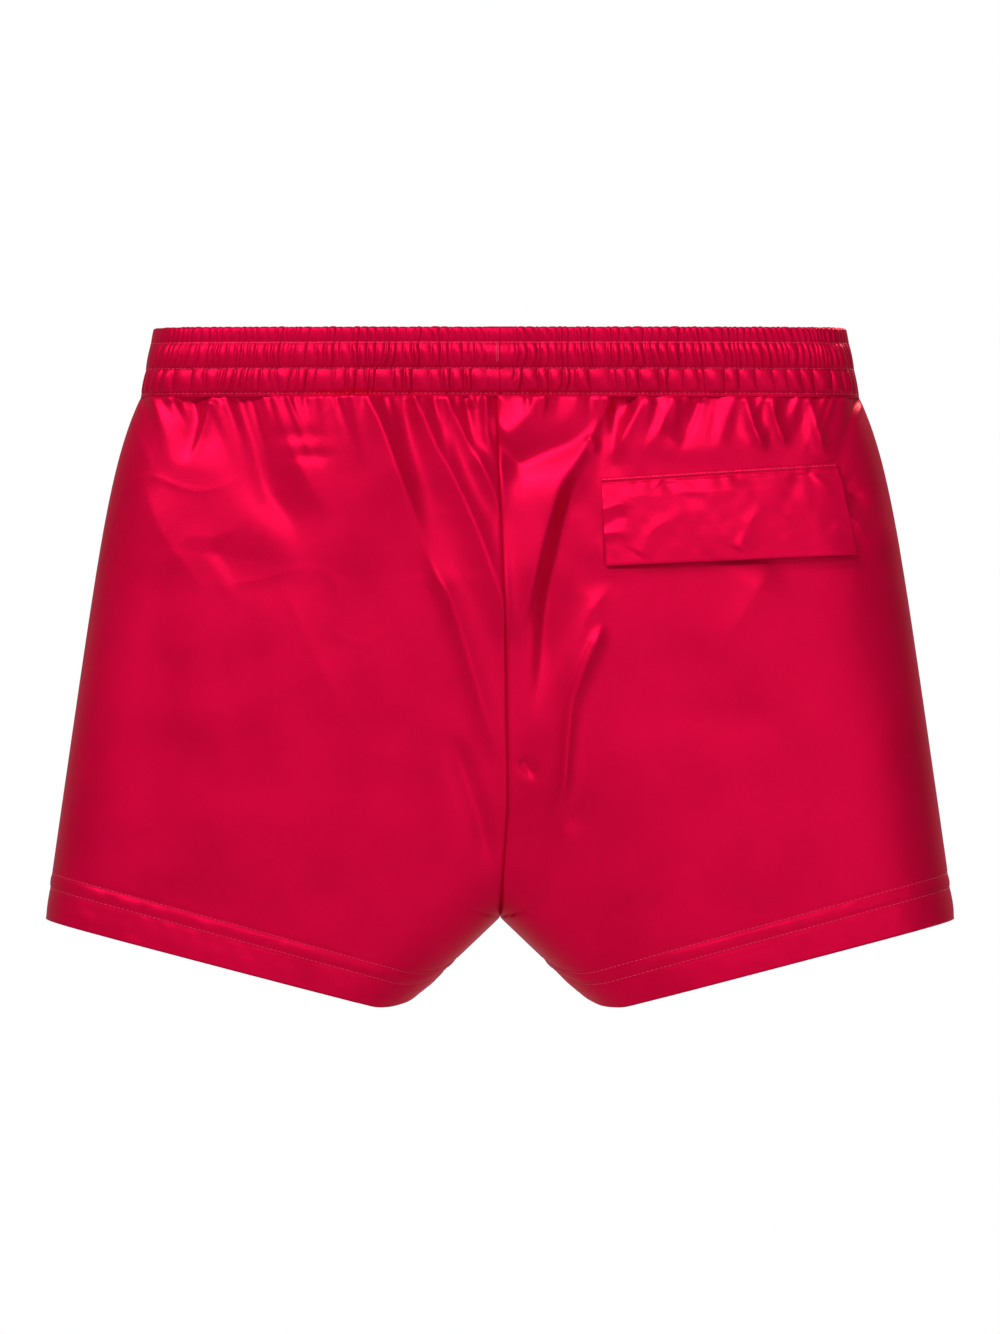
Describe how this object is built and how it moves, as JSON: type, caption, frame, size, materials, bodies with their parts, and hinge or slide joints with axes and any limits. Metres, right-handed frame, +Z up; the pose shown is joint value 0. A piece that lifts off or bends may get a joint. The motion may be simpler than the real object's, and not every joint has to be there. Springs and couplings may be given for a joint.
{
  "type": "elastic-waist shorts",
  "caption": "Short-cut satin shorts with a gathered elastic waistband, a curved twin-stitched hem and a flapped back pocket.",
  "frame": {"origin": "middle of the waist opening, level with the waistband's top edge", "axes": "+Z up, out of the waist; the wearer faces -Y, so the back and its pocket face +Y; the wearer's left leg is at +X"},
  "size_m": [0.4812, 0.0992, 0.3592],
  "materials": {
    "shell_satin": "satin",
    "waistband_satin": "gathered satin",
    "flap_satin": "satin",
    "pocket_lining": "matte",
    "elastic_webbing": "ribbed",
    "closure_tape": "napped",
    "eyelet_metal": "nickel plated",
    "label_tape": "woven satin"
  },
  "bodies": {
    "shorts": {"front_panel_left": "shell_satin", "front_panel_right": "shell_satin", "back_panel_left": "shell_satin", "back_panel_right": "shell_satin", "waistband_front_left": "waistband_satin", "waistband_front_right": "waistband_satin", "waistband_front_middle": "waistband_satin", "waistband_back_left": "waistband_satin", "waistband_back_right": "waistband_satin", "waist_elastic": "elastic_webbing", "eyelet_left": "eyelet_metal", "eyelet_right": "eyelet_metal", "eyelet_washer_left": "eyelet_metal", "eyelet_washer_right": "eyelet_metal", "pocket_loop_tape": "closure_tape", "pocket_welt": "shell_satin", "pocket_bag_outer": "pocket_lining", "pocket_bag_inner": "pocket_lining", "care_label": "label_tape", "size_label": "label_tape"},
    "pocket_flap": {"pocket_flap_outer": "flap_satin", "pocket_flap_lining": "flap_satin", "flap_hook_tape": "closure_tape"}
  },
  "joints": [
    {"name": "flap_hinge", "type": "hinge", "parent": "shorts", "child": "pocket_flap", "pos_m": [-0.13158, 0.04591, -0.07796], "axis": [0.9936, 0.0929, -0.0643], "range_deg": [0, 165]}
  ]
}
